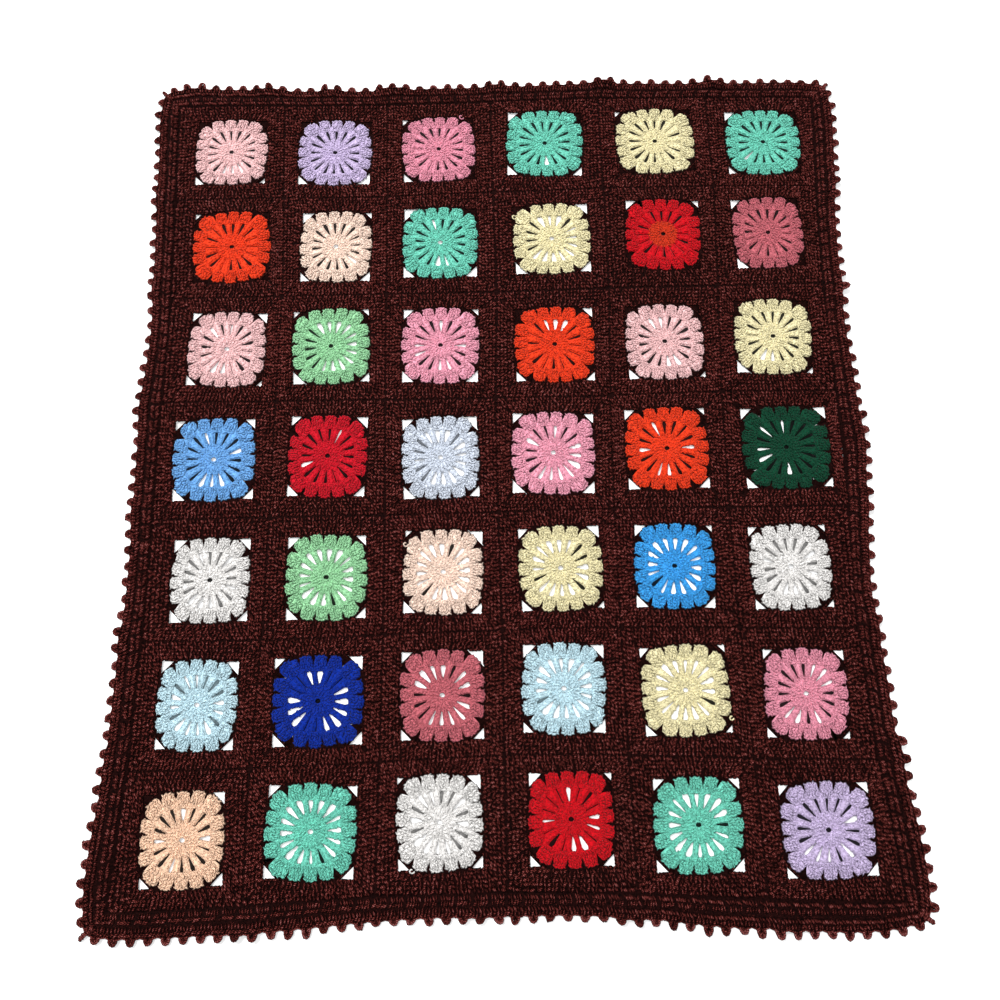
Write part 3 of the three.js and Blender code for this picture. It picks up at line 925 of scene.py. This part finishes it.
# the border is made of cells, one for each picot and one that turns each corner
foot_left, foot_right, tip_left, tip_right = [], [], [], []
for side in range(4):
    t = np.linspace(0, 1, PICOTS[side] + 1)
    foot, tip = raised(seam_point(side, t), 0), edge_point(side, t)
    following = edge_point((side + 1) % 4, np.zeros(1))
    foot_left += [foot[:-1], foot[-1:]]
    foot_right += [foot[1:], foot[-1:]]
    tip_left += [tip[:-1], tip[-1:]]
    tip_right += [tip[1:], following]
foot_left, foot_right, tip_left, tip_right = (
    np.concatenate(a) for a in (foot_left, foot_right, tip_left, tip_right))
CELLS = len(foot_left)
VALLEY = 0.77  # how far out the valleys between the picots lie
edge_way = tip_right - tip_left
outward = np.stack((-edge_way[:, 1], edge_way[:, 0], 0 * edge_way[:, 0]), -1)
outward /= np.linalg.norm(outward, axis=1, keepdims=True)


def border_point(cell, u, h):
    """The cloth's line in cells of the border: u across a cell (0 to 1), h from seam to tips.

    It follows the straight line from seam to tip as far as the valleys, and past them it goes
    straight out from the edge. The ripple's lift grows as h to the power 1.5.
    """
    u, h = np.broadcast_to(u, cell.shape)[:, None], np.broadcast_to(h, cell.shape)
    foot = foot_left[cell] + (foot_right[cell] - foot_left[cell]) * u
    tip = tip_left[cell] + (tip_right[cell] - tip_left[cell]) * u
    deep = np.sum((tip - foot) * outward[cell], axis=1)
    past = np.maximum(h - VALLEY, 0) * deep
    points = foot + (tip - foot) * np.minimum(h, VALLEY)[:, None] + past[:, None] * outward[cell]
    points[:, 2] = tip[:, 2] * np.maximum(h, 0) ** 1.5
    return points


rng = np.random.default_rng(400)
sway = rng.normal(0, 0.055, CELLS)  # how far each picot leans along the edge
reach = rng.normal(0, 0.035, CELLS)  # and stands out from it


def picot_point(cell, u, h):
    """As border_point, with each picot leaning and standing out by its own amount."""
    past = np.clip((h - VALLEY) / (1 - VALLEY), 0, 1)
    return border_point(cell, u + sway[cell] * past, h + reach[cell] * past)


# stitch legs in a cell, as (u, h): two rows of blocks, a chain, two rows of shells, a picot
BLOCKS = [(u, h) for u in (0.17, 0.335, 0.5, 0.665, 0.83) for h in (0.135, 0.305)]
CHAIN = [(u, 0.43) for u in (0.1, 0.37, 0.63, 0.9)]
SHELLS = [(0.5 + (u - 0.5) * (0.8 + 0.35 * h), h) for u in (0.1, 0.3, 0.5, 0.7, 0.9)
          for h in (0.54, 0.68)]
PICOT = [(0.4, 0.81), (0.6, 0.81), (0.45, 0.9), (0.55, 0.9)]
# yarns along a cell's edge: the loop round the picot, and the rim from a valley to that loop
PICOT_LOOP = ((0.3, 0.76), (0.3, 0.85), (0.38, 0.93), (0.5, 0.955), (0.62, 0.93), (0.7, 0.85),
              (0.7, 0.76))
VALLEY_RIM = ((-0.02, 0.74), (0.1, 0.755), (0.22, 0.775), (0.3, 0.81))
# the outline of the yarn behind, and the rows it is made in from the seam outwards
BACK_EDGE = ((0, 0.765), (0.27, 0.78), (0.33, 0.89), (0.5, 0.95), (0.67, 0.89), (0.73, 0.78),
             (1, 0.765))
BACK_ROWS = (-0.08, 0.4, VALLEY - 0.03)

cells = np.arange(CELLS)
parts = []
for pairs, slant, thick, top in ((BLOCKS, 0.45, 2.3, 2.7), (CHAIN, 2.5, 1.6, 1.6),
                                 (SHELLS, 0.45, 2.3, 2.8), (PICOT, 0.4, 2.3, 2.6)):
    cell = np.repeat(cells, len(pairs))
    u, h = np.tile(pairs, (CELLS, 1)).T
    u = u + rng.normal(0, 0.012, len(u))
    h = h + rng.normal(0, 0.012, len(h))

    def point(u, h):
        return picot_point(cell, u, h)

    parts.append(worked(point, u, h, rng, slant, 5.2 * MM, thick * MM, top * MM))
loop = np.stack([picot_point(cells, u, h) for u, h in PICOT_LOOP], 1)
parts.append(tubes(loop + (0, 0, 2.6 * MM), 1.5 * MM, 4, rng, YARN_LUMP, loop[:, :, 2]))
for hand in (0, 1):
    rim = np.stack([picot_point(cells, abs(hand - u), h) for u, h in VALLEY_RIM], 1)
    parts.append(tubes(rim + (0, 0, 2.4 * MM), 1.3 * MM, 3, rng, YARN_LUMP, rim[:, :, 2]))
border = crochet("border_stitches", parts, materials["brown"])
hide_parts("border")

# the yarn behind the border lies low too, so the painted crevice shade makes it nearly black
web_points = [
    np.stack([border_point(cells, u, h) for h in (*BACK_ROWS, outermost)], 1)
    for u, outermost in BACK_EDGE
]
web_points = np.stack(web_points, 1) + (0, 0, WEB_TOP)  # cells x across x outwards x 3
across, outwards = web_points.shape[1:3]
web_quads = grid_quads(across, outwards)[:, ::-1] + across * outwards * cells[:, None, None]
back = slab(web_points.reshape(-1, 3), web_quads.reshape(-1, 4), WEB_THICK, WEB_TOP)
border_back = crochet("border_back", [back], materials["brown"])
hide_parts("border")

# ---- Floor, light and camera ---------------------------------------------------------------
# A plain pale floor under the blanket, a broad soft light from the far left, and the camera
# above the near half.
bpy.ops.mesh.primitive_plane_add(size=12)
floor = bpy.context.object
floor.name = "floor"
paint = bpy.data.materials.new("floor")
paint.use_nodes = True
fill_in(paint.node_tree.nodes["Principled BSDF"], {
    "Base Color": (0.86, 0.86, 0.86, 1), "Roughness": 0.9,
    "Emission Color": (1, 1, 1, 1), "Emission Strength": 0.35})
floor.data.materials.append(paint)

world = bpy.data.worlds.new("studio")
bpy.context.scene.world = world
world.use_nodes = True
fill_in(world.node_tree.nodes["Background"], {"Color": (1, 1, 1, 1), "Strength": 0.55})


def soft_light(name, place, size, power):
    """A square area light at a place, aimed at the middle of the blanket."""
    lamp = bpy.data.lights.new(name, "AREA")
    lamp.shape = "SQUARE"
    lamp.size = size
    lamp.energy = power
    holder = bpy.data.objects.new(name, lamp)
    bpy.context.scene.collection.objects.link(holder)
    holder.location = place
    holder.rotation_euler = (-Vector(place)).to_track_quat("-Z", "Y").to_euler()


soft_light("key", place=(-1.0, 1.2, 2.6), size=0.9, power=95)
soft_light("fill", place=(1.4, -1.0, 2.4), size=2.0, power=20)

CAMERA_PLACE = Vector((0.624, -219.76, 824.0)) * MM
CAMERA_ELEVATION = math.radians(78.156)
CAMERA_ROLL = math.radians(-1.002)
ahead = Vector((0, math.cos(CAMERA_ELEVATION), -math.sin(CAMERA_ELEVATION)))
right = Vector((1, 0, 0))
up = right.cross(ahead)
across = math.cos(CAMERA_ROLL) * right + math.sin(CAMERA_ROLL) * up
upright = -math.sin(CAMERA_ROLL) * right + math.cos(CAMERA_ROLL) * up
lens = bpy.data.cameras.new("camera")
lens.sensor_width = 36  # mm, as its length is
lens.lens = 26.17
lens.clip_start = 0.05
camera = bpy.data.objects.new("camera", lens)
bpy.context.scene.collection.objects.link(camera)
camera.matrix_world = Matrix((across, upright, -ahead)).transposed().to_4x4()
camera.location = CAMERA_PLACE
bpy.context.scene.camera = camera
bpy.context.scene.view_settings.view_transform = "Standard"
